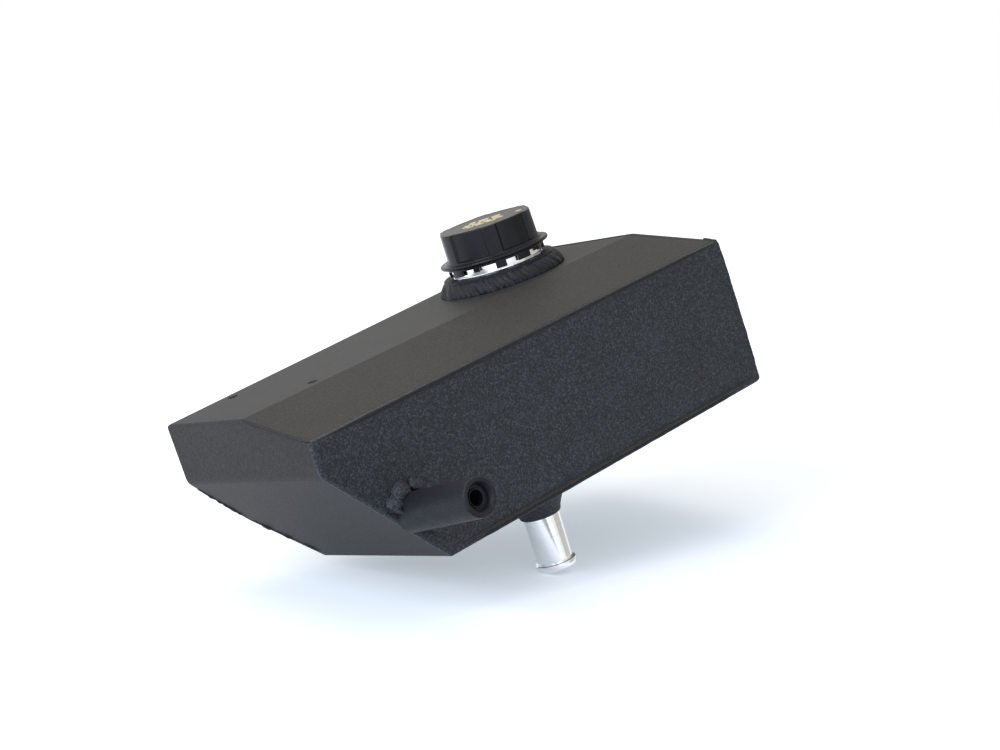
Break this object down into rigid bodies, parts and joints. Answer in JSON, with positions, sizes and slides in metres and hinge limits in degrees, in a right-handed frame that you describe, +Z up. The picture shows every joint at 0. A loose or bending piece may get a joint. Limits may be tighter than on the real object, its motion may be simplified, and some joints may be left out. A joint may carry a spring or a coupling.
{
  "type": "coolant overflow tank",
  "caption": "Welded sheet coolant overflow tank with a screwed, valved filler cap, a hose spigot underneath and an angled vent port on its front.",
  "frame": {"origin": "on the outlet spigot's axis, halfway up the raised lip at its open end", "axes": "+X along the tank towards the end nearest the filler cap, +Y from the flat front panel to the back, +Z up along the filler cap's axis"},
  "size_m": [0.3, 0.202, 0.1742],
  "materials": {
    "coarse_coat": "coarse wrinkle coat, near black with a blue cast",
    "fine_coat": "fine texture coat, near black, matt",
    "coated_weld": "weld bead under the same black coat",
    "bare_sheet": "mill finish",
    "turned_aluminium": "bright turned",
    "cap_moulding": "glossy black moulding",
    "core_moulding": "matt black moulding",
    "seal_rubber": "moulded seal",
    "valve_brass": "turned",
    "spring_wire": "drawn wire"
  },
  "bodies": {
    "tank": {"front_panel": "coarse_coat", "top_panel": "fine_coat", "back_panel": "fine_coat", "left_end_panel": "fine_coat", "right_end_panel": "fine_coat", "bottom_panel": "fine_coat", "baffle_plate": "bare_sheet", "filler_neck": "turned_aluminium", "neck_weld": "coated_weld", "outlet_bung": "coated_weld", "outlet_weld": "coated_weld", "outlet_spigot": "turned_aluminium", "vent_port": "fine_coat", "vent_weld": "coated_weld", "vent_restrictor": "turned_aluminium", "mount_insert_1": "fine_coat", "mount_insert_2": "fine_coat"},
    "cap_core": {"cap_core": "core_moulding", "core_ring": "seal_rubber", "cap_gasket": "seal_rubber", "spring_retainer": "core_moulding", "pressure_spring": "spring_wire"},
    "cap_shell": {"cap_shell": "cap_moulding"},
    "pressure_valve": {"pressure_valve": "valve_brass", "pressure_gasket": "seal_rubber", "vacuum_spring": "spring_wire"},
    "vacuum_valve": {"vacuum_valve": "valve_brass"}
  },
  "joints": [
    {"name": "cap_lift", "type": "slide", "parent": "tank", "child": "cap_core", "axis": [0, 0, 1], "range_m": [0, 0.012]},
    {"name": "cap_turn", "type": "hinge", "parent": "cap_core", "child": "cap_shell", "pos_m": [0.0801, 0.0648, 0.155], "axis": [0, 0, 1], "range_deg": [0, 1080]},
    {"name": "pressure_valve_lift", "type": "slide", "parent": "cap_core", "child": "pressure_valve", "axis": [0, 0, 1], "range_m": [0, 0.003], "stiffness_N_per_m": 400, "springref_m": -0.006, "deforming": ["pressure_spring"]},
    {"name": "vacuum_valve_drop", "type": "slide", "parent": "pressure_valve", "child": "vacuum_valve", "axis": [0, 0, -1], "range_m": [0, 0.002], "stiffness_N_per_m": 100, "springref_m": -0.002, "deforming": ["vacuum_spring"]}
  ],
  "couplings": [
    {"joint": "cap_turn", "follows": "cap_lift", "rad_per_m": 1570.8}
  ]
}
